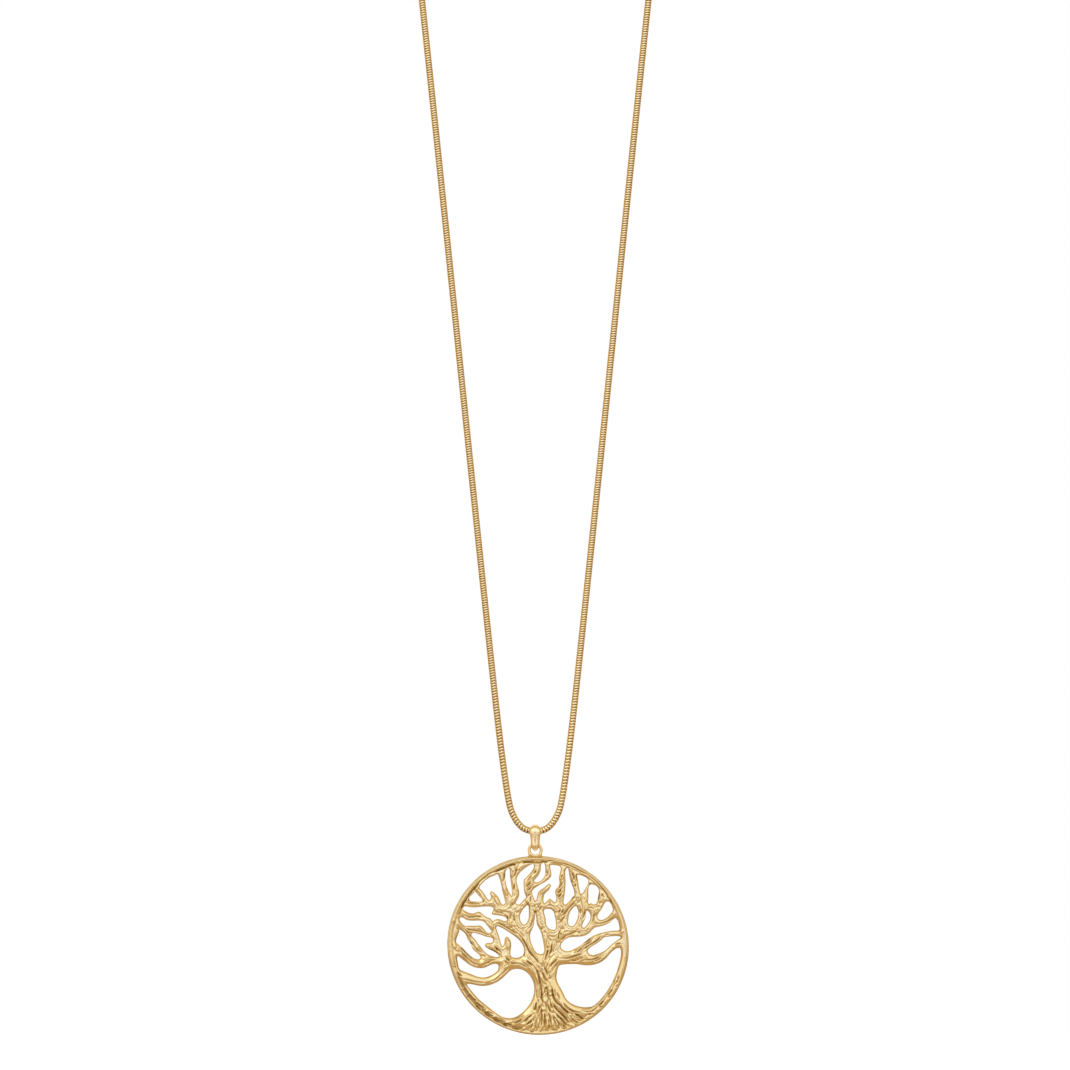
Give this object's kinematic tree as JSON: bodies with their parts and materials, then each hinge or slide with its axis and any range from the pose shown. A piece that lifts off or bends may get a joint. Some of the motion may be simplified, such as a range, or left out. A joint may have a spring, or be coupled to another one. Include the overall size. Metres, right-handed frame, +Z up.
{
  "type": "tree of life pendant on a snake chain",
  "caption": "Pierced round pendant of a tree with spreading branches and roots, hung by a smooth bail on a long round snake chain.",
  "frame": {"origin": "middle of the clasp at the nape, where the necklace rests on the back of the neck", "axes": "+Z up, -Y towards the front where the medallion faces, +X to the right seen from the front"},
  "size_m": [0.0986, 0.0985, 0.4209],
  "materials": {
    "chain_gold": "polished gold-plated snake chain",
    "smooth_gold": "satin gold plate",
    "cast_gold": "satin gold-plated casting, darker in its grooves"
  },
  "bodies": {
    "necklace": {"chain": "chain_gold", "clasp": "smooth_gold"},
    "bail": {"bail": "smooth_gold"},
    "pendant": {"medallion": "cast_gold"}
  },
  "joints": [
    {"name": "bail_swing", "type": "hinge", "parent": "necklace", "child": "bail", "pos_m": [0, -0.095, -0.3627], "axis": [1, 0, 0], "range_deg": [-80, 80]},
    {"name": "pendant_swing", "type": "hinge", "parent": "bail", "child": "pendant", "pos_m": [0, -0.095, -0.36616], "axis": [1, 0, 0], "range_deg": [-90, 90]}
  ]
}
